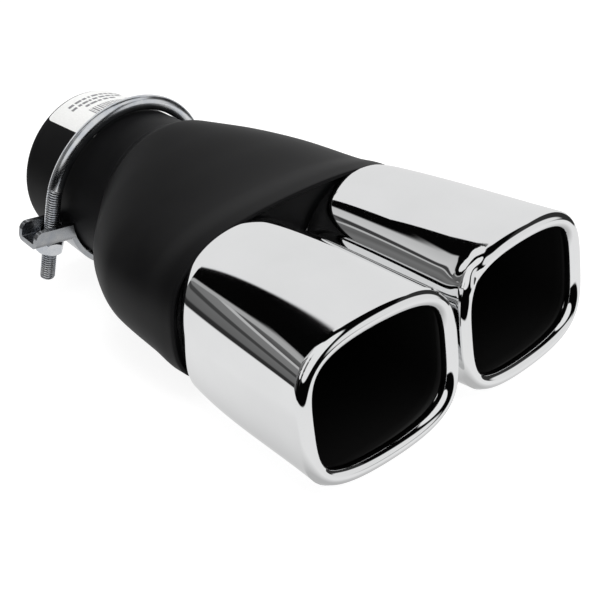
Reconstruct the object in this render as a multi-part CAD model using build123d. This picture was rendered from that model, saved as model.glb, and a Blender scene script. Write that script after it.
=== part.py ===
from build123d import *
import math
import os

os.makedirs("parts", exist_ok=True)

# All sizes are in millimetres. +X runs from the inlet to the outlets, +Z is up,
# and the origin is on the bore axis at the inlet's open end.

# Formed shell: round inlet, neck, shoulder and flattened body in one pressing
inlet_od = 63.5
inlet_length = 50.0
shell_wall = 1.5
neck_start = 0.3
neck_length = 7.5
ridge_half_width = 38.4
ridge_half_height = 34.4
shoulder_length = 14.5
shoulder_half_width = 51.0
shoulder_half_height = 33.4
flank_length = 18.0
flank_half_width = 58.2
flank_half_height = 31.2
waist_length = 22.0
waist_half_width = 60.3
waist_half_height = 29.2
lip_length = 11.0
collar_length = 5.0
mouth_turn = 0.74
mouth_base_turn = 0.86

# Front plate that closes the mouth around the two tips
plate_thickness = 1.5
plate_inset = 1.5
fit_clearance = 0.1

# Tips: round-topped and squarer below where they leave the body, flat-sided and arched at the rim
tip_length = 74.0
tip_wall = 1.2
tail_length = 6.0
tail_inset = 1.3
tail_drop = 3.8
tail_turn = 0.6
tail_spacing = 2.4
root_length = 4.5
root_half_width = 29.4
root_half_height = 28.4
root_turn = 0.66
root_base_turn = 0.93
root_spacing = 0.8
rim_half_width = 34.9
rim_half_height = 27.1
rim_side_turn = 0.64
rim_top_turn = 0.98
rim_spacing = 1.8
rim_lean = 0.14
rim_sweep = 0.03
rim_roll = 5.8
bead_proud = 0.3

# U-bolt clamp, sitting a little askew on the inlet
clamp_x = 26.7
clamp_turn = 8.0
clamp_tilt = 7.6
rod_diameter = 6.0
rod_chamfer = 0.7
ubolt_gap = 1.9
leg_length = 34.0
saddle_thickness = 2.0
saddle_width = 12.0
ear_length = 11.0
ear_depth = 17.4
flange_height = 7.6
flange_corner = 3.0
bend_radius = 0.5
leg_clearance = 0.3
nut_flats = 10.0
nut_height = 5.2
nut_turn = 13.5
thread_clearance = 0.1
seat_clearance = 0.1

# Paper label on top of the inlet
label_thickness = 0.12
label_glue = 0.02
label_margin = 1.2
label_length = 29.5
label_turn = 10.0
label_sweep = 90.0
label_corner = 2.0

round_turn = 4 * (math.sqrt(2) - 1) / 3
inlet_radius = inlet_od / 2
ridge_x = inlet_length + neck_length
shoulder_x = ridge_x + shoulder_length
flank_x = shoulder_x + flank_length
waist_x = flank_x + waist_length
collar_x = waist_x + lip_length
mouth_x = collar_x + collar_length
rim_x = mouth_x + tip_length
root_y = root_spacing / 2 + root_half_width
tail_half_width = root_half_width - tail_inset
tail_half_height = root_half_height - tail_drop
tail_y = tail_spacing / 2 + tail_half_width
mouth_half_width = root_y + root_half_width + shell_wall
mouth_half_height = root_half_height + shell_wall


def cross_plane(x, y=0.0, lean=0.0, sweep=0.0):
    """Plane across the part: local x along +Y, local y upward, normal toward +X."""
    return Plane(origin=(x, y, 0), x_dir=(-sweep, 1, 0), z_dir=(1, sweep, lean))


def ring(plane, half_width, half_height, upper, lower):
    """Twelve points that steer an oval of four Bezier quarters. upper and lower say how far
    that half runs along its flank and its crown before it turns; a circle has round_turn for all."""
    points = []
    for up, (side, top) in ((1, upper), (-1, lower)):
        quarter = [(half_width, 0), (half_width, side * half_height), (top * half_width, half_height)]
        half = quarter + [(0, half_height)] + [(-y, z) for y, z in reversed(quarter[1:])]
        points += [plane.from_local_coords((up * y, up * z)) for y, z in half]
    return points


def outline(points):
    """Face inside one ring."""
    closed = points + points[:1]
    return Face(Wire([Edge.make_bezier(*closed[k:k + 4]) for k in range(0, 12, 3)]))


def lead(points):
    """Directions of a smooth run through the points that never swings past any of them."""
    steps = [b - a for a, b in zip(points, points[1:])]
    leads = [steps[0] / steps[0].X]
    for a, b in zip(steps, steps[1:]):
        blend = []
        for p, q in zip(a / a.X, b / b.X):
            blend.append(2 * p * q / (p + q) if p * q > 0 else 0.0)
        leads.append(Vector(*blend))
    leads.append(steps[-1] / steps[-1].X)
    return leads


def run(points):
    """Bezier points of that smooth run, three to a step and the last point."""
    leads = lead(points)
    bezier = []
    for a, b, p, q in zip(points, points[1:], leads, leads[1:]):
        reach = (b.X - a.X) / 3
        bezier += [a, a + p * reach, b - q * reach]
    return bezier + [points[-1]]


def skin(rings):
    """Solid with a smooth wall through the rings and flat ends."""
    runs = [run(points) for points in zip(*rings)]
    runs.append(runs[0])
    faces = [outline(rings[0]), outline(rings[-1])]
    for k in range(0, 12, 3):
        for j in range(0, 3 * len(rings) - 3, 3):
            faces.append(Face.make_bezier_surface([path[j:j + 4] for path in runs[k:k + 4]]))
    return Solid(Shell(faces))


# Body shell
past = 2.0
body_stations = [
    (inlet_length, inlet_radius - neck_start, inlet_radius - neck_start),
    (ridge_x, ridge_half_width, ridge_half_height),
    (shoulder_x, shoulder_half_width, shoulder_half_height),
    (flank_x, flank_half_width, flank_half_height),
    (waist_x, waist_half_width, waist_half_height),
    (collar_x, mouth_half_width, mouth_half_height),
]


def body_solid(inset, overrun):
    """The body's form, drawn in by inset, with its open ends longer by overrun. The inlet
    pipe runs on to the ridge, and the neck starts just inside it and swells out of it."""
    rings = []
    for x, half_width, half_height in body_stations:
        share = max(0.0, (x - ridge_x) / (collar_x - ridge_x))
        upper, lower = (round_turn + share * (turn - round_turn) for turn in (mouth_turn, mouth_base_turn))
        rings.append(ring(cross_plane(x), half_width - inset, half_height - inset,
                          (upper, upper), (lower, lower)))
    front = [point + Vector(collar_length + overrun, 0, 0) for point in rings[-1]]
    pipe = Cylinder(inlet_radius - inset, ridge_x + overrun,
                    align=(Align.CENTER, Align.CENTER, Align.MIN))
    return cross_plane(-overrun) * pipe + skin(rings + [front])


body_shell = body_solid(0, 0) - body_solid(shell_wall, past)

# Tips
plate_front = mouth_x - plate_inset
plate_back = plate_front - plate_thickness
root_x = mouth_x + root_length
bead_radius = rim_roll / 2
bead_x = rim_x - bead_radius
rim_y = rim_spacing / 2 + rim_half_width
tail_reach = plate_thickness + tail_length


def rim_ring(inset):
    plane = cross_plane(bead_x, -rim_y, rim_lean, -rim_sweep)
    turns = (rim_side_turn, rim_top_turn)
    return ring(plane, rim_half_width - inset, rim_half_height - inset, turns, turns)


def tail_ring(plane, inset):
    turns = (tail_turn, tail_turn)
    return ring(plane, tail_half_width - inset, tail_half_height - inset, turns, turns)


def tip_solid(inset, tail_end):
    """The left tip's form up to the bead, drawn in by inset, from a tail of that length."""
    tail = tail_ring(cross_plane(plate_front, -tail_y), inset)
    root = ring(cross_plane(root_x, -root_y), root_half_width - inset, root_half_height - inset,
                (root_turn, root_turn), (root_base_turn, root_base_turn))
    back = [point - Vector(tail_end, 0, 0) for point in tail]
    return skin([back, tail, root, rim_ring(inset)])


tip_tube = tip_solid(0, tail_reach) - tip_solid(tip_wall, tail_reach + past)
tip_tube -= extrude(outline(rim_ring(tip_wall)), past, dir=(1, 0, 0), both=True)
bead_path = outline(rim_ring(bead_radius - bead_proud)).outer_wire()
bead_start = Plane(origin=bead_path @ 0, z_dir=bead_path % 0)
left_tip = tip_tube + sweep(bead_start * Circle(bead_radius), path=bead_path)
right_tip = mirror(left_tip, Plane.XZ)

# Front plate: fills the collar, with a hole for each tip's tail
plate_gap = shell_wall + fit_clearance
plate_ring = ring(cross_plane(plate_back), mouth_half_width - plate_gap, mouth_half_height - plate_gap,
                  (mouth_turn, mouth_turn), (mouth_base_turn, mouth_base_turn))
front_plate = extrude(outline(plate_ring), plate_thickness, dir=(1, 0, 0))
for side in (-1, 1):
    hole_ring = tail_ring(cross_plane(plate_back - past, side * tail_y), -fit_clearance)
    front_plate -= extrude(outline(hole_ring), plate_thickness + 2 * past, dir=(1, 0, 0))

# Clamp plane: local x toward the right tip's side, local y up along the legs
turn = math.radians(clamp_turn)
tilt = math.radians(clamp_tilt)
clamp = Plane(
    origin=(clamp_x, 0, 0),
    x_dir=(0, math.cos(turn), -math.sin(turn)),
    z_dir=(math.cos(tilt), -math.sin(tilt) * math.sin(turn), -math.sin(tilt) * math.cos(turn)))
rod_radius = rod_diameter / 2
leg_offset = inlet_radius + ubolt_gap + rod_radius
label_top = label_glue + label_thickness
bow_drop = leg_offset - (inlet_radius + label_top + seat_clearance + rod_radius) / math.cos(tilt)

# U-bolt: half a torus over the inlet and two straight legs
bow_axis = Axis((0, -bow_drop, 0), (0, 0, 1))
ubolt = revolve(Plane.XZ.offset(bow_drop) * Pos(leg_offset, 0) * Circle(rod_radius), bow_axis, 180)
for side in (-1, 1):
    leg = Cylinder(rod_radius, leg_length, align=(Align.CENTER, Align.CENTER, Align.MIN))
    leg = chamfer(leg.edges().sort_by(Axis.Z)[-1], rod_chamfer)
    ubolt += Pos(side * leg_offset, -bow_drop, 0) * Rot(90, 0, 0) * leg
u_bolt = clamp * ubolt

# Saddle: cradle under the inlet, flat ears with leg holes and upturned flanges
cradle_radius = inlet_radius + seat_clearance
saddle_drop = (saddle_width / 2) * math.tan(tilt) + inlet_radius / math.cos(tilt) - inlet_radius
saddle_half = leg_offset + ear_length
web_top = ear_depth - saddle_thickness
cradle = Pos(0, -saddle_drop) * Circle(cradle_radius)
belly = Pos(0, -saddle_drop) * Circle(cradle_radius + saddle_thickness)
belly -= Pos(0, -web_top) * Rectangle(4 * saddle_half, 4 * saddle_half, align=(Align.CENTER, Align.MIN))
strap = extrude(belly - cradle, saddle_width / 2, both=True)
outside = Rectangle(saddle_width, flange_height, align=(Align.CENTER, Align.MIN))
outside = fillet(outside.vertices().group_by(Axis.Y)[0], bend_radius + saddle_thickness)
inside = Pos(0, saddle_thickness) * Rectangle(
    saddle_width - 2 * saddle_thickness, flange_height, align=(Align.CENTER, Align.MIN))
inside = fillet(inside.vertices().group_by(Axis.Y)[0], bend_radius)
channel = Pos(0, -ear_depth, 0) * Rot(0, 90, 0) * extrude(outside - inside, saddle_half, both=True)
side_profile = Pos(0, -ear_depth) * Rectangle(2 * saddle_half, flange_height, align=(Align.CENTER, Align.MIN))
side_profile = fillet(side_profile.vertices().group_by(Axis.Y)[-1], flange_corner)
saddle = strap + (channel & extrude(side_profile - cradle, saddle_width, both=True))
for side in (-1, 1):
    drill = Cylinder(rod_radius + leg_clearance, 4 * saddle_thickness)
    saddle -= Pos(side * leg_offset, -ear_depth, 0) * Rot(90, 0, 0) * drill
clamp_saddle = clamp * saddle

# Hex nuts under the ears, with corners turned off at both faces
nut_corner = nut_flats / math.sqrt(3)
nut_round = Cylinder(nut_corner, nut_height)
nut_round = chamfer(nut_round.edges().filter_by(GeomType.CIRCLE), nut_corner - nut_flats / 2)
nut = extrude(Rot(0, 0, nut_turn) * RegularPolygon(nut_corner, 6), nut_height / 2, both=True) & nut_round
nut -= Cylinder(rod_radius + thread_clearance, 2 * nut_height)
nuts = []
for side in (-1, 1):
    place = Pos(side * leg_offset, -ear_depth - nut_height / 2, 0) * Rot(90, 0, 0)
    nuts.append(clamp * (place * nut))
clamp_nut_left, clamp_nut_right = nuts

# Label: a thin band over the top of the inlet, its forward edge under the U-bolt
label_radius = inlet_radius + label_glue
strip = Plane.XZ * Pos(label_margin, label_radius) * Rectangle(
    label_length, label_thickness, align=(Align.MIN, Align.MIN))
band = revolve(strip, Axis.X, label_sweep)
band = fillet(band.edges().filter_by(lambda e: abs(e.length - label_thickness) < 1e-6), label_corner)
inlet_label = Rot(-label_turn - label_sweep / 2, 0, 0) * band

nodes = {
    "body_shell": body_shell,
    "front_plate": front_plate,
    "left_tip": left_tip,
    "right_tip": right_tip,
    "u_bolt": u_bolt,
    "clamp_saddle": clamp_saddle,
    "clamp_nut_left": clamp_nut_left,
    "clamp_nut_right": clamp_nut_right,
    "inlet_label": inlet_label,
}
for name, shape in nodes.items():
    export_step(shape, f"parts/{name}.step")
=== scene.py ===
"""Looks, light and camera for a clamp-on exhaust tip with two bright outlets."""
import math

import bmesh
import bpy
import numpy as np
from mathutils import Matrix, Vector


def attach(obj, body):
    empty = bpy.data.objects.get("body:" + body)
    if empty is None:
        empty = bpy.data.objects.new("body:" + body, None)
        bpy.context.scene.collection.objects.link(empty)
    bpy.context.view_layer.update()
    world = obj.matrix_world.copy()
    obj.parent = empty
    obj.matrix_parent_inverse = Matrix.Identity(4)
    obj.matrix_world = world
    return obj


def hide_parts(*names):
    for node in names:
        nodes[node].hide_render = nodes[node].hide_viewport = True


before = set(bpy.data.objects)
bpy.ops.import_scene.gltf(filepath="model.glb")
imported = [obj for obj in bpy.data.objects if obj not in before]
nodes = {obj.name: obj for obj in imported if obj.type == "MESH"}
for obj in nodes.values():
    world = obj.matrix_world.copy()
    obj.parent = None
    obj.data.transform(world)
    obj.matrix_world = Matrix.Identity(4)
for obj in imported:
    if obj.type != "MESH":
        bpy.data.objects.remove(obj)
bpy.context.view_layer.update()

# Sizes are in millimetres and meshes are made in metres.
MM = 0.001

# Ovals: how far a circle's quarter runs straight before it turns, and the points round an oval
ROUND_TURN = 4 * (math.sqrt(2) - 1) / 3
QUARTER_STEPS = 56
LOOP_SIZE = 4 * QUARTER_STEPS

# Body: station along the part, half width, half height
INLET_RADIUS = 31.75
INLET_LENGTH = 50.0
RIDGE_X = 57.5
COLLAR_X = 123.0
MOUTH_X = 128.0
SHELL_WALL = 1.5
MOUTH_TURN = 0.74
MOUTH_BASE_TURN = 0.86
BODY_STATIONS = [
    (INLET_LENGTH, INLET_RADIUS, INLET_RADIUS),
    (RIDGE_X, 38.4, 34.4),
    (72.0, 51.0, 33.4),
    (90.0, 58.2, 31.2),
    (112.0, 60.3, 29.2),
    (COLLAR_X, 60.7, 29.9),
]
BODY_ROWS = [24] + [16] * (len(BODY_STATIONS) - 1) + [4]
LIP_STEPS = 8

# Tips
TAIL_X = 119.0
TAIL_Y = 29.3
TAIL_HALF = (28.1, 24.6)
TAIL_TURN = 0.6
PLATE_X = 126.5
HEEL_X = 127.9
HEEL_INSET = 0.35
ROOT_X = 132.5
ROOT_Y = 29.8
ROOT_HALF = (29.4, 28.4)
ROOT_TURN = 0.66
ROOT_BASE_TURN = 0.93
RIM_X = 202.0
RIM_Y = 35.8
RIM_HALF = (34.9, 27.1)
RIM_SIDE_TURN = 0.64
RIM_TOP_TURN = 0.98
RIM_LEAN = 0.14
RIM_SWEEP = 0.03
TIP_WALL = 1.2
TIP_OUTER_ROWS = [4, 8, 8, 72]
TIP_INNER_ROWS = [4, 8, 6, 40]
BEAD_RADIUS = 2.9
BEAD_SUNK = 2.85
BEAD_STEPS = 36
BRIGHT_BEAD_ROWS = 26
# Painted shade inside the tips: palest at the first distance behind the rim, fully dark from the
# second on
INSIDE_SHADE_STARTS = 4.0
INSIDE_SHADE_FULL = 12.0

# Knock on the right tip's upper inner corner: place, reach and push of each lump and hollow
LUMPS = [
    ((197.5, 8.0, 22.0), 3.2, (0.3, -0.7, 0.8)),
    ((200.3, 9.8, 20.6), 2.0, (-0.9, 0.5, -0.5)),
    ((198.6, 4.6, 17.4), 1.8, (0.35, -0.35, 0.2)),
    ((197.4, 14.2, 24.6), 1.8, (0.2, 0.1, 0.5)),
    ((192.8, 7.4, 21.6), 2.6, (0.0, 0.35, -0.35)),
]

# Clamp
CLAMP_X = 26.7
CLAMP_TURN = math.radians(8.0)
CLAMP_TILT = math.radians(7.6)
ROD_RADIUS = 3.0
ROD_CHAMFER = 0.7
ROD_SIDES = 32
LEG_OFFSET = 36.65
LEG_LENGTH = 34.0
BOW_SEAT = 0.24
BOW_DROP = LEG_OFFSET - (INLET_RADIUS + BOW_SEAT + ROD_RADIUS) / math.cos(CLAMP_TILT)
BOW_ROWS = 90

# Thread on the rod's ends: its groove's slope and crest as shares of a turn, and its shaded part
THREAD_LENGTH = 40.0
THREAD_PITCH = 1.0
THREAD_DEPTH = 0.65
THREAD_FADE = 1.0
PITCH_ROWS = 8
GROOVE_SLOPE = 1.6
GROOVE_CREST = 0.3
GROOVE_SHADE = 0.55

# Edges of the saddle and the nuts
WELD = 1e-7
FLAT_ANGLE = math.radians(0.5)
SHARP_ANGLE = math.radians(30)
BEVEL_STEPS = 3
SADDLE_BEVEL = 0.3
NUT_BEVEL = 0.15

# Label's print. Dashes: place along the inlet, first and last angle of each row.
PRINT_RADIUS = INLET_RADIUS + 0.16
PRINT_SEED = 7
BAR_STEPS = 4
DASH_ROWS = ((5.4, -20, 26), (8.4, -21, 24), (11.4, -12, 14))
DASH_HEIGHT = 1.5
DASH_WIDTHS = (2.0, 6.5)
DASH_GAPS = (0.8, 1.6)
UPRIGHT_ENDS = (15.4, 22.4)
UPRIGHT_ANGLES = (-14.0, 36)
UPRIGHT_WIDTHS = [0.5, 0.9, 1.4]
UPRIGHT_GAPS = [0.6, 0.9, 1.3]

# Floor: it touches the tips' undersides and lies just below the far leg's end
TOUCH_X = RIM_X + 2
TOUCH_Z = -27.2
LEG_GAP = 0.4
FLOOR_REACH = 4.0
FLOOR_GLOW = 0.88

# Studio: brightness of its parts, the lamp, and the card's height and corners
BACKDROP = 0.82
DARK_ROOM = 0.0015
WHITE = (1, 1, 1, 1)
LAMP_TOWARD = (25, 72)
LAMP_DISTANCE = 0.9
LAMP_CENTRE = (0.1, 0, 0)
LAMP_SIZE = 0.9
LAMP_ENERGY = 8.5
CARD_HEIGHT = 140.0
CARD_CORNERS = [(20, -5), (79, 32), (106, 78), (112, 100), (112, 150), (20, 150)]

# Reflections: place along a direction in the sky, and brightness there
STRIPS_ACROSS = (-0.337, 0.901, 0.276)
STRIPS_RANGE = (-0.6, 0.5)
STRIPS = [
    (-0.55, 0.03), (-0.515, 0.04), (-0.5, 0.45), (-0.475, 0.45), (-0.46, 0.02), (-0.415, 0.02),
    (-0.39, 0.14), (-0.28, 0.18), (-0.2, 0.12), (-0.115, 0.14), (-0.1, 0.5), (-0.07, 0.5),
    (-0.055, 0.05), (0.02, 0.04), (0.05, 0.62), (0.45, 0.5),
]
SIDE_RANGE = (-0.3, 0.6)
SIDE_STRIPS = [
    (-0.27, 0.02), (-0.17, 0.03), (-0.14, 0.13), (0.01, 0.15), (0.04, 0.05), (0.1, 0.06),
    (0.12, 0.19), (0.28, 0.2), (0.3, 0.5), (0.345, 0.5), (0.36, 0.08), (0.45, 0.12), (0.55, 0.1),
]
GROUND_RANGE = (-1.0, 0.0)
GROUND = [(-0.9, 0.5), (-0.55, 0.84)]
GROUND_EDGE = (-0.235, -0.265)

# Camera fitted to the photograph: azimuth, elevation and roll in degrees, place and lens
CAMERA_ANGLES = (45.965, 31.198, -1.216)
CAMERA_PLACE = (410.4, -274.0, 223.9)
CAMERA_LENS = 75.0
CAMERA_SENSOR = 36.0
CAMERA_CLIP = 0.01


def held(value):
    """The value, held between 0 and 1."""
    return min(1.0, max(0.0, value))


def bernstein(t):
    return np.stack([(1 - t) ** 3, 3 * t * (1 - t) ** 2, 3 * t * t * (1 - t), t ** 3], axis=-1)


QUARTER = bernstein(np.arange(QUARTER_STEPS) / QUARTER_STEPS)


def ring(x, y, half_width, half_height, upper, lower, lean=0.0, sweep=0.0):
    """Twelve points that steer an oval of four Bezier quarters across the part. upper and lower
    say how far that half runs along its flank and its crown before it turns."""
    flat = []
    for up, (side, top) in ((1, upper), (-1, lower)):
        quarter = [(half_width, 0), (half_width, side * half_height),
                   (top * half_width, half_height), (0, half_height)]
        flat += [(up * a, up * b) for a, b in quarter + [(-a, b) for a, b in quarter[2:0:-1]]]
    flat = np.array(flat, dtype=float)
    normal = np.array([1, sweep, lean]) / math.hypot(1, sweep, lean)
    across = np.array([-sweep, 1, 0]) / math.hypot(1, sweep)
    upward = np.cross(normal, across)
    return np.array([x, y, 0.0]) + flat[:, :1] * across + flat[:, 1:] * upward


def loop(points):
    """Points round an oval, from its twelve steering points."""
    closed = np.concatenate([points, points[:1]])
    return np.concatenate([QUARTER @ closed[k:k + 4] for k in range(0, 12, 3)])


def leads(rings):
    """Directions of a smooth run through the rings that never swings past any of them."""
    steps = np.diff(rings, axis=0)
    rise = steps / steps[:, :, :1]
    product = rise[:-1] * rise[1:]
    total = rise[:-1] + rise[1:]
    blend = np.where(product > 0, 2 * product / np.where(total == 0, 1, total), 0)
    return np.concatenate([rise[:1], blend, rise[-1:]])


def wall(rings, counts, end=1.0):
    """Rows of points along the smooth wall through the rings, up to a share of the last step."""
    rings = np.array(rings)
    lead = leads(rings)
    rows = []
    for k, count in enumerate(counts):
        a, b = rings[k], rings[k + 1]
        reach = (b - a)[:, :1] / 3
        net = np.stack([a, a + lead[k] * reach, b - lead[k + 1] * reach, b])
        last = k == len(counts) - 1
        stops = np.linspace(0, end, count + 1) if last else np.arange(count) / count
        rows += [loop(np.tensordot(bernstein(t), net, 1)) for t in stops]
    return rows


def seat(obj, slot, *replaced):
    """Let an object ride on the part, in place of the solids that it replaces."""
    bpy.context.scene.collection.objects.link(obj)
    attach(obj, "root")
    if replaced:
        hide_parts(*replaced)


def piece(name, vertices, faces, slot, materials, indices=None, *replaced):
    """Smooth-shaded mesh that rides on the part."""
    mesh = bpy.data.meshes.new(name)
    mesh.from_pydata((np.asarray(vertices) * MM).tolist(), [], faces)
    for material in materials:
        mesh.materials.append(material)
    if indices is not None:
        mesh.polygons.foreach_set("material_index", indices)
    mesh.polygons.foreach_set("use_smooth", [True] * len(mesh.polygons))
    mesh.update()
    seat(bpy.data.objects.new(name, mesh), slot, *replaced)


def hoop_faces(row_count, size, closed):
    """Quads between rows of points; closed joins the last row to the first."""
    faces = []
    for i in range(row_count if closed else row_count - 1):
        j = (i + 1) % row_count
        for k in range(size):
            n = (k + 1) % size
            faces.append((i * size + k, i * size + n, j * size + n, j * size + k))
    return faces


def grey(value):
    return (value, value, value)


class Shading:
    """Node tree with short calls for what the paints and the sky share."""

    def __init__(self, tree, space):
        self.tree = tree
        self.coords = tree.nodes.new("ShaderNodeTexCoord").outputs[space]

    def link(self, a, b):
        self.tree.links.new(a, b)

    def toward(self, direction):
        """How far a point lies along a direction."""
        node = self.tree.nodes.new("ShaderNodeVectorMath")
        node.operation = "DOT_PRODUCT"
        node.inputs[1].default_value = direction
        self.link(self.coords, node.inputs[0])
        return node.outputs["Value"]

    def span(self, source, start=0.0, stop=1.0, low=0.0, high=1.0, course="LINEAR"):
        """low where the source is at start, high where it is at stop."""
        node = self.tree.nodes.new("ShaderNodeMapRange")
        node.interpolation_type = course
        limits = {"From Min": start, "From Max": stop, "To Min": low, "To Max": high}
        for name, value in limits.items():
            node.inputs[name].default_value = value
        self.link(source, node.inputs["Value"])
        return node.outputs["Result"]

    def ramp(self, source, stops):
        """Colours at places from 0 to 1, in order."""
        node = self.tree.nodes.new("ShaderNodeValToRGB")
        elements = node.color_ramp.elements
        for end, (place, colour) in ((elements[0], stops[0]), (elements[1], stops[-1])):
            end.position = place
            end.color = (*colour, 1)
        for place, colour in stops[1:-1]:
            elements.new(place).color = (*colour, 1)
        self.link(source, node.inputs["Fac"])
        return node.outputs["Color"]


class Paint(Shading):
    """A material whose colour, roughness and grain come from noise."""

    def __init__(self, name):
        self.material = bpy.data.materials.new(name)
        self.material.use_nodes = True
        super().__init__(self.material.node_tree, "Object")
        self.shader = self.tree.nodes["Principled BSDF"]

    def set(self, **values):
        for name, value in values.items():
            self.shader.inputs[name.replace("_", " ")].default_value = value

    def noise(self, scale, detail=4.0, stretch=(1, 1, 1)):
        mapping = self.tree.nodes.new("ShaderNodeMapping")
        mapping.inputs["Scale"].default_value = stretch
        self.link(self.coords, mapping.inputs["Vector"])
        node = self.tree.nodes.new("ShaderNodeTexNoise")
        node.inputs["Scale"].default_value = scale
        node.inputs["Detail"].default_value = detail
        self.link(mapping.outputs["Vector"], node.inputs["Vector"])
        return node.outputs["Fac"]

    def colour(self, source, stops):
        self.link(self.ramp(source, stops), self.shader.inputs["Base Color"])

    def mottle(self, noise, dark, light):
        """Colour that drifts between two tones."""
        self.colour(noise, [(0.3, dark), (0.7, light)])

    def rough(self, noise, low, high):
        self.link(self.span(noise, low=low, high=high), self.shader.inputs["Roughness"])

    def bump(self, noise, strength, distance):
        node = self.tree.nodes.new("ShaderNodeBump")
        node.inputs["Strength"].default_value = strength
        node.inputs["Distance"].default_value = distance
        self.link(noise, node.inputs["Height"])
        self.link(node.outputs["Normal"], self.shader.inputs["Normal"])


def black_paint():
    paint = Paint("satin_black")
    cloud = paint.noise(60)
    paint.mottle(cloud, (0.0028, 0.0028, 0.0031), (0.0052, 0.0052, 0.0056))
    paint.set(Specular_IOR_Level=0.12)
    paint.rough(cloud, 0.42, 0.54)
    paint.bump(paint.noise(2600, 2), 0.12, 0.00008)
    return paint.material


def bright_metal():
    paint = Paint("polished_chrome")
    paint.set(Metallic=1.0)
    haze = paint.noise(35)
    paint.mottle(haze, (0.84, 0.845, 0.85), (0.88, 0.885, 0.89))
    paint.rough(haze, 0.015, 0.045)
    paint.bump(paint.noise(900, 3, (0.15, 1, 1)), 0.015, 0.00002)
    return paint.material


def painted_inside_shade():
    """Painted shade inside a tip: black deep in, paler toward its rim."""
    paint = Paint("inside_painted_shade")
    paint.set(Specular_IOR_Level=0.12)
    depth = paint.span(paint.toward((1, 0, RIM_LEAN)),
                       (RIM_X - INSIDE_SHADE_FULL) * MM, (RIM_X - INSIDE_SHADE_STARTS) * MM)
    paint.colour(depth, [(0.0, grey(0.004)), (0.35, grey(0.008)),
                         (0.7, grey(0.06)), (1.0, grey(0.3))])
    paint.rough(paint.noise(120), 0.8, 0.95)
    return paint.material


def zinc_plating(name, shade, smooth, rough):
    paint = Paint(name)
    paint.set(Metallic=1.0)
    cloud = paint.noise(220)
    tones = ((0.60, 0.63, 0.68), (0.78, 0.79, 0.80))
    paint.mottle(cloud, *(tuple(shade * v for v in tone) for tone in tones))
    paint.rough(cloud, smooth, rough)
    paint.bump(paint.noise(3000, 2), 0.1, 0.00005)
    return paint.material


def label_paper():
    paint = Paint("label_paper")
    fibre = paint.noise(700, 6, (1, 3, 3))
    paint.mottle(fibre, (0.80, 0.80, 0.79), (0.86, 0.86, 0.85))
    paint.rough(fibre, 0.45, 0.6)
    paint.bump(fibre, 0.06, 0.00005)
    return paint.material


def label_ink():
    paint = Paint("label_ink")
    fade = paint.noise(900, 4)
    paint.mottle(fade, (0.16, 0.16, 0.17), (0.26, 0.26, 0.27))
    paint.rough(fade, 0.5, 0.65)
    return paint.material


BLACK = black_paint()
CHROME = bright_metal()
INSIDE_SHADE = painted_inside_shade()
ZINC = zinc_plating("zinc_plating", 1.0, 0.14, 0.3)
# Zinc darkened for the saddle: painted shade
SHADED_ZINC = zinc_plating("shaded_plating", 0.62, 0.16, 0.32)
# Darker zinc on the thread's groove faces: painted shade in the grooves
PAINTED_GROOVE_SHADE = zinc_plating("thread_groove_painted_shade", 0.2, 0.4, 0.55)
PAPER = label_paper()
INK = label_ink()


def body_ring(x, half_width, half_height, inset):
    share = held((x - RIDGE_X) / (COLLAR_X - RIDGE_X))
    upper, lower = (ROUND_TURN + share * (turn - ROUND_TURN)
                    for turn in (MOUTH_TURN, MOUTH_BASE_TURN))
    return ring(x, 0, half_width - inset, half_height - inset, (upper, upper), (lower, lower))


def make_body():
    """One pressing: outer wall, rounded front lip, inner wall, rounded inlet edge."""
    edge = SHELL_WALL / 2
    mouth_half = BODY_STATIONS[-1][1:]
    skins = []
    for inset in (0, SHELL_WALL):
        first = body_ring(edge, INLET_RADIUS, INLET_RADIUS, inset)
        last = body_ring(MOUTH_X - edge, *mouth_half, inset)
        rings = [first] + [body_ring(*station, inset) for station in BODY_STATIONS] + [last]
        skins.append(wall(rings, BODY_ROWS))
    turns = np.linspace(0, math.pi, LIP_STEPS)[1:-1]
    front = [loop(body_ring(MOUTH_X - edge + edge * math.sin(t), *mouth_half,
                            edge - edge * math.cos(t))) for t in turns]
    back = [loop(body_ring(edge - edge * math.sin(t), INLET_RADIUS, INLET_RADIUS,
                           edge + edge * math.cos(t))) for t in turns]
    rows = skins[0] + front + skins[1][::-1] + back
    faces = hoop_faces(len(rows), LOOP_SIZE, True)
    piece("body_skin", np.concatenate(rows), faces, "black_shell", [BLACK], None, "body_shell")


def rim_ring(side, inset):
    turns = (RIM_SIDE_TURN, RIM_TOP_TURN)
    return ring(RIM_X - BEAD_RADIUS, side * RIM_Y, RIM_HALF[0] - inset, RIM_HALF[1] - inset,
                turns, turns, RIM_LEAN, side * RIM_SWEEP)


def tip_wall(side, inset, counts, end=1.0):
    """Rows along a tip: tucked in at the plate, wider at the body's lip, then out to the rim."""
    tail = (side * TAIL_Y, TAIL_HALF[0] - inset, TAIL_HALF[1] - inset,
            (TAIL_TURN, TAIL_TURN), (TAIL_TURN, TAIL_TURN))
    back, low = ring(TAIL_X, *tail), ring(PLATE_X, *tail)
    root = ring(ROOT_X, side * ROOT_Y, ROOT_HALF[0] - inset, ROOT_HALF[1] - inset,
                (ROOT_TURN, ROOT_TURN), (ROOT_BASE_TURN, ROOT_BASE_TURN))
    heel = low + (root - low) * (HEEL_X - PLATE_X) / (ROOT_X - PLATE_X)
    heel[:, 2] = root[:, 2] * (1 - HEEL_INSET / ROOT_HALF[1])
    return wall([back, low, heel, root, rim_ring(side, inset)], counts, end)


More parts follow.
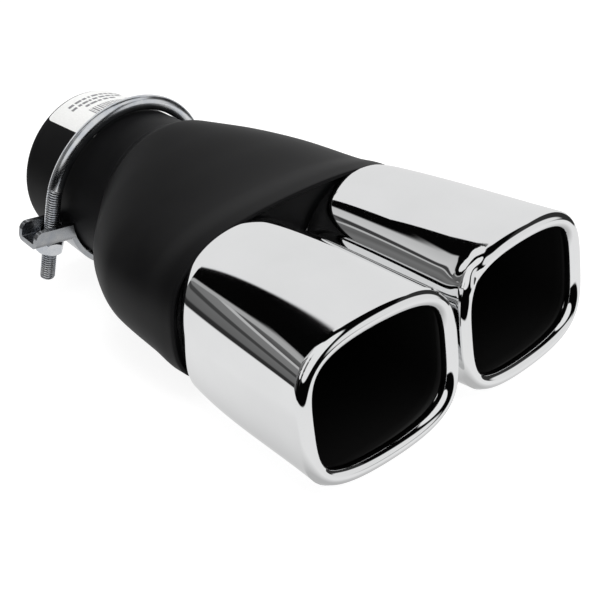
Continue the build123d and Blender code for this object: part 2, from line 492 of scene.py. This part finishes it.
def bead_rows(side):
    """Rows round the rolled rim, from the outer wall over the front to the inner wall."""
    path = loop(rim_ring(side, BEAD_SUNK))
    ahead = np.roll(path, -1, axis=0) - np.roll(path, 1, axis=0)
    normal = np.array([1, side * RIM_SWEEP, RIM_LEAN]) / math.hypot(1, RIM_SWEEP, RIM_LEAN)
    out = np.cross(ahead, normal)
    out /= np.linalg.norm(out, axis=1, keepdims=True)
    stop = -math.pi - math.asin((BEAD_SUNK - TIP_WALL) / BEAD_RADIUS)
    turns = np.linspace(math.pi / 2, stop, BEAD_STEPS)[1:]
    return [path + BEAD_RADIUS * (math.cos(t) * normal + math.sin(t) * out) for t in turns]


def make_tip(name, side):
    """Oval at the root, flat-sided at the rim, with the edge rolled inward; black inside."""
    span = RIM_X - BEAD_RADIUS - ROOT_X
    inner_gap = math.sqrt(BEAD_RADIUS ** 2 - (BEAD_SUNK - TIP_WALL) ** 2)
    outer = tip_wall(side, 0, TIP_OUTER_ROWS)
    bead = bead_rows(side)
    inner = tip_wall(side, TIP_WALL, TIP_INNER_ROWS, 1 - inner_gap / span)[::-1]
    points = np.concatenate(outer + bead + inner)
    if side > 0:
        for place, reach, push in LUMPS:
            gap = np.linalg.norm(points - np.array(place), axis=1) / reach
            points = points + np.exp(-gap * gap / 2)[:, None] * np.array(push)
    faces = hoop_faces(len(points) // LOOP_SIZE, LOOP_SIZE, True)
    # Faces past the bright bead rows take the inside's painted shade
    black_from = len(outer) + BRIGHT_BEAD_ROWS
    indices = [1 if i // LOOP_SIZE >= black_from else 0 for i in range(len(faces))]
    piece(name + "_skin", points, faces, "bright_tip", [CHROME, INSIDE_SHADE], indices, name)


def clamp_axes():
    """The clamp's directions: across it, up its legs and forward along the part."""
    across = np.array([0, math.cos(CLAMP_TURN), -math.sin(CLAMP_TURN)])
    forward = np.array([math.cos(CLAMP_TILT), -math.sin(CLAMP_TILT) * math.sin(CLAMP_TURN),
                        -math.sin(CLAMP_TILT) * math.cos(CLAMP_TURN)])
    return across, np.cross(forward, across), forward


def make_ubolt():
    """Round rod: threaded leg, bow over the inlet, threaded leg."""
    across, up, forward = clamp_axes()
    spin = np.arange(ROD_SIDES) / ROD_SIDES
    theta = 2 * math.pi * spin
    centre = np.array([CLAMP_X, 0, 0]) - BOW_DROP * up
    bow = math.pi * LEG_OFFSET
    length = 2 * LEG_LENGTH + bow
    fine = np.arange(0, THREAD_LENGTH + THREAD_FADE, THREAD_PITCH / PITCH_ROWS)
    plain = np.linspace(fine[-1], length - fine[-1], BOW_ROWS)[1:-1]
    places = np.concatenate([fine, plain, length - fine[::-1]])
    rows = []
    for place in places:
        end = min(place, length - place)
        angle = math.pi * (1 - held((place - LEG_LENGTH) / bow))
        out = math.cos(angle) * across + math.sin(angle) * up
        middle = centre + LEG_OFFSET * out - max(0.0, LEG_LENGTH - end) * up
        phase = (place / THREAD_PITCH + spin) % 1.0
        cut = np.clip(GROOVE_SLOPE * np.abs(2 * phase - 1) - GROOVE_CREST, 0, 1)
        depth = THREAD_DEPTH * held((THREAD_LENGTH - end) / THREAD_FADE)
        radius = np.minimum(ROD_RADIUS - depth * cut, ROD_RADIUS - max(0.0, ROD_CHAMFER - end))
        rows.append(middle + (radius * np.cos(theta))[:, None] * out
                    + (radius * np.sin(theta))[:, None] * forward)
    middles = (places[:-1] + places[1:]) / 2
    threaded = np.minimum(middles, length - middles) < THREAD_LENGTH
    waves = (middles[:, None] / THREAD_PITCH + spin + 0.5 / ROD_SIDES) % 1.0
    # Faces in the thread's grooves take the painted shade
    shaded_grooves = threaded[:, None] & (np.abs(2 * waves - 1) > GROOVE_SHADE)
    indices = shaded_grooves.astype(int).ravel().tolist() + [0, 0]
    total = len(rows) * ROD_SIDES
    faces = hoop_faces(len(rows), ROD_SIDES, False)
    faces.append(tuple(range(ROD_SIDES))[::-1])
    faces.append(tuple(range(total - ROD_SIDES, total)))
    piece("u_bolt_rod", np.concatenate(rows), faces, "plated_clamp", [ZINC, PAINTED_GROOVE_SHADE], indices,
          "u_bolt")


def dress_node(name, material):
    """A solid shown as it is, in another material."""
    mesh = nodes[name].data
    mesh.materials.clear()
    mesh.materials.append(material)


def finish_node(name, skin, bevel, material):
    """Zinc-plated copy of a solid with smooth curves and slightly broken edges."""
    source = nodes[name]
    shape = bmesh.new()
    shape.from_mesh(source.data)
    shape.transform(source.matrix_world)
    bmesh.ops.remove_doubles(shape, verts=shape.verts, dist=WELD)
    bmesh.ops.dissolve_limit(shape, angle_limit=FLAT_ANGLE, verts=shape.verts, edges=shape.edges)
    for face in shape.faces:
        face.smooth = True
    for edge in shape.edges:
        edge.smooth = edge.calc_face_angle(0.0) < SHARP_ANGLE
    mesh = bpy.data.meshes.new(skin)
    shape.to_mesh(mesh)
    shape.free()
    mesh.materials.append(material)
    obj = bpy.data.objects.new(skin, mesh)
    modifier = obj.modifiers.new("edge", "BEVEL")
    modifier.width = bevel * MM
    modifier.segments = BEVEL_STEPS
    modifier.limit_method = "ANGLE"
    modifier.angle_limit = SHARP_ANGLE
    modifier.harden_normals = True
    seat(obj, "plated_clamp", name)


def make_print():
    """Plain bars in place of the label's print: rows of short dashes, and one of upright bars."""
    random = np.random.default_rng(PRINT_SEED)
    bars = []
    for x, first, last in DASH_ROWS:
        angle = first
        while angle < last:
            width = random.uniform(*DASH_WIDTHS)
            bars.append((x, x + DASH_HEIGHT, angle, angle + width))
            angle += width + random.uniform(*DASH_GAPS)
    angle, last = UPRIGHT_ANGLES
    while angle < last:
        width = random.choice(UPRIGHT_WIDTHS)
        bars.append((*UPRIGHT_ENDS, angle, angle + width))
        angle += width + random.choice(UPRIGHT_GAPS)
    vertices = []
    faces = []
    for low, high, first, last in bars:
        start = len(vertices)
        for t in np.radians(np.linspace(first, last, BAR_STEPS)):
            y, z = PRINT_RADIUS * math.sin(t), PRINT_RADIUS * math.cos(t)
            vertices += [(low, y, z), (high, y, z)]
        faces += [(k, k + 1, k + 3, k + 2) for k in range(start, len(vertices) - 2, 2)]
    piece("label_print", vertices, faces, "paper_label", [INK])


make_body()
make_tip("left_tip", -1)
make_tip("right_tip", 1)
make_ubolt()
make_print()
dress_node("front_plate", BLACK)
dress_node("inlet_label", PAPER)
finish_node("clamp_saddle", "saddle_skin", SADDLE_BEVEL, SHADED_ZINC)
finish_node("clamp_nut_left", "nut_left_skin", NUT_BEVEL, ZINC)
finish_node("clamp_nut_right", "nut_right_skin", NUT_BEVEL, ZINC)


def make_floor():
    """Pale plane that touches the tips and the lower end of the far leg."""
    across, up, _ = clamp_axes()
    touch = Vector((TOUCH_X * MM, 0, TOUCH_Z * MM))
    leg_end = np.array([CLAMP_X, 0, 0]) + LEG_OFFSET * across - (BOW_DROP + LEG_LENGTH) * up
    slope = math.atan2(TOUCH_Z - (leg_end[2] - LEG_GAP), TOUCH_X - leg_end[0])
    mesh = bpy.data.meshes.new("floor")
    corners = [(-1, -1), (1, -1), (1, 1), (-1, 1)]
    mesh.from_pydata([(FLOOR_REACH * x, FLOOR_REACH * y, 0) for x, y in corners],
                     [], [(0, 1, 2, 3)])
    floor = bpy.data.objects.new("floor", mesh)
    floor.matrix_world = Matrix.Translation(touch) @ Matrix.Rotation(-slope, 4, "Y")
    bpy.context.scene.collection.objects.link(floor)
    paint = Paint("pale_floor")
    paint.set(Roughness=0.9, Specular_IOR_Level=0.1, Emission_Strength=FLOOR_GLOW,
              Emission_Color=WHITE)
    paint.mottle(paint.noise(3), grey(0.29), grey(0.31))
    mesh.materials.append(paint.material)
    floor.visible_glossy = False


class Sky(Shading):
    """World shader that lays soft-edged patches over each other by direction."""

    # Sockets of a Mix node that mixes colours
    BELOW, ABOVE, MIXED = 6, 7, 2

    def __init__(self, world, colour):
        super().__init__(world.node_tree, "Generated")
        self.colour = colour

    def edge(self, source, start, stop):
        """Mask with a soft edge."""
        return self.span(source, start, stop, course="SMOOTHSTEP")

    def cap(self, direction, start, stop):
        """Mask of what lies toward a direction, with its edge between two cosines."""
        return self.edge(self.toward(Vector(direction).normalized()), start, stop)

    def strips(self, source, limits, stops):
        """Brightness by place along the source."""
        start, stop = limits
        shares = [((place - start) / (stop - start), grey(value)) for place, value in stops]
        return self.ramp(self.span(source, start, stop), shares)

    def lay(self, mask, colour):
        node = self.tree.nodes.new("ShaderNodeMix")
        node.data_type = "RGBA"
        self.link(mask, node.inputs["Factor"])
        for value, number in ((self.colour, self.BELOW), (colour, self.ABOVE)):
            if isinstance(value, float):
                node.inputs[number].default_value = (*grey(value), 1)
            else:
                self.link(value, node.inputs[number])
        self.colour = node.outputs[self.MIXED]


def heading(azimuth, elevation):
    a, e = math.radians(azimuth), math.radians(elevation)
    return (math.cos(a) * math.cos(e), math.sin(a) * math.cos(e), math.sin(e))


def make_sky():
    """White sweep behind and under the part, a dark room on the camera's side, soft panels."""
    world = bpy.data.worlds.new("studio")
    bpy.context.scene.world = world
    world.use_nodes = True
    sky = Sky(world, DARK_ROOM)
    upward = sky.toward(Vector((0, 0, 1)))
    # Panel overhead, the white sweep on the far side, and a dark end to it on the right
    sky.lay(sky.cap(heading(-61, 65), 0.68, 0.72), 0.85)
    sky.lay(sky.cap((0.467, -0.519, 0.715), 0.0, -0.06), BACKDROP)
    sky.lay(sky.cap(heading(80, 12), 0.84, 0.86), 0.03)
    # Streaks on the tips' outer sides, and on the sides between them
    across = sky.toward(Vector(STRIPS_ACROSS).normalized())
    sky.lay(sky.cap(heading(-145, 25), 0.7, 0.74), sky.strips(across, STRIPS_RANGE, STRIPS))
    beside = sky.tree.nodes.new("ShaderNodeMath")
    beside.operation = "MULTIPLY"
    sky.link(sky.cap(heading(127, 0), -0.02, 0.01), beside.inputs[0])
    sky.link(sky.cap(heading(203, 8), 0.855, 0.865), beside.inputs[1])
    sky.lay(beside.outputs["Value"], sky.strips(upward, SIDE_RANGE, SIDE_STRIPS))
    # Dark streaks along the tips' tops, the lower one with a grey border
    sky.lay(sky.cap(heading(180.7, 22.8), 0.912, 0.918), 0.4)
    sky.lay(sky.cap(heading(180.7, 22.8), 0.93, 0.938), DARK_ROOM)
    sky.lay(sky.cap(heading(176.4, 40.7), 0.95, 0.96), DARK_ROOM)
    # White beyond the body, the ground, and a panel on the right
    sky.lay(sky.cap(heading(157, 6), 0.771, 0.777), BACKDROP)
    sky.lay(sky.edge(upward, *GROUND_EDGE), sky.strips(upward, GROUND_RANGE, GROUND))
    sky.lay(sky.cap(heading(44, 14), 0.9, 0.945), 0.8)
    # The camera itself sees plain white
    paths = sky.tree.nodes.new("ShaderNodeLightPath")
    sky.lay(paths.outputs["Is Camera Ray"], 1.0)
    sky.link(sky.colour, sky.tree.nodes["Background"].inputs["Color"])


def make_lamp():
    """Soft light from above that the bright metal doesn't show."""
    panel = bpy.data.lights.new("overhead_panel", "AREA")
    panel.size = LAMP_SIZE
    panel.energy = LAMP_ENERGY
    lamp = bpy.data.objects.new("overhead_panel", panel)
    toward = Vector(heading(*LAMP_TOWARD))
    lamp.location = toward * LAMP_DISTANCE + Vector(LAMP_CENTRE)
    lamp.rotation_euler = toward.to_track_quat("Z", "Y").to_euler()
    lamp.visible_glossy = False
    bpy.context.scene.collection.objects.link(lamp)


def make_card():
    """White card over the body that only the bright metal's reflections see."""
    mesh = bpy.data.meshes.new("white_card")
    mesh.from_pydata([(x * MM, y * MM, CARD_HEIGHT * MM) for x, y in CARD_CORNERS],
                     [], [tuple(range(len(CARD_CORNERS)))])
    paint = Paint("card_white")
    paint.set(Emission_Strength=BACKDROP, Specular_IOR_Level=0.0, Base_Color=(0, 0, 0, 1),
              Emission_Color=WHITE)
    mesh.materials.append(paint.material)
    card = bpy.data.objects.new("white_card", mesh)
    bpy.context.scene.collection.objects.link(card)
    card.visible_camera = False
    card.visible_diffuse = False
    card.visible_shadow = False


def make_camera():
    """Camera fitted to the photograph: place, aim, roll and lens."""
    azimuth, elevation, roll = (math.radians(v) for v in CAMERA_ANGLES)
    back = Vector((math.sin(azimuth) * math.cos(elevation),
                   -math.cos(azimuth) * math.cos(elevation), math.sin(elevation)))
    right = (-back).cross(Vector((0, 0, 1))).normalized()
    up = right.cross(-back)
    across = math.cos(roll) * right + math.sin(roll) * up
    upward = -math.sin(roll) * right + math.cos(roll) * up
    data = bpy.data.cameras.new("camera")
    data.lens = CAMERA_LENS
    data.sensor_width = CAMERA_SENSOR
    data.clip_start = CAMERA_CLIP
    camera = bpy.data.objects.new("camera", data)
    bpy.context.scene.collection.objects.link(camera)
    place = Matrix((across, upward, back)).transposed().to_4x4()
    place.translation = Vector(CAMERA_PLACE) * MM
    camera.matrix_world = place
    bpy.context.scene.camera = camera


make_floor()
make_sky()
make_lamp()
make_card()
make_camera()
bpy.context.scene.view_settings.view_transform = "Standard"
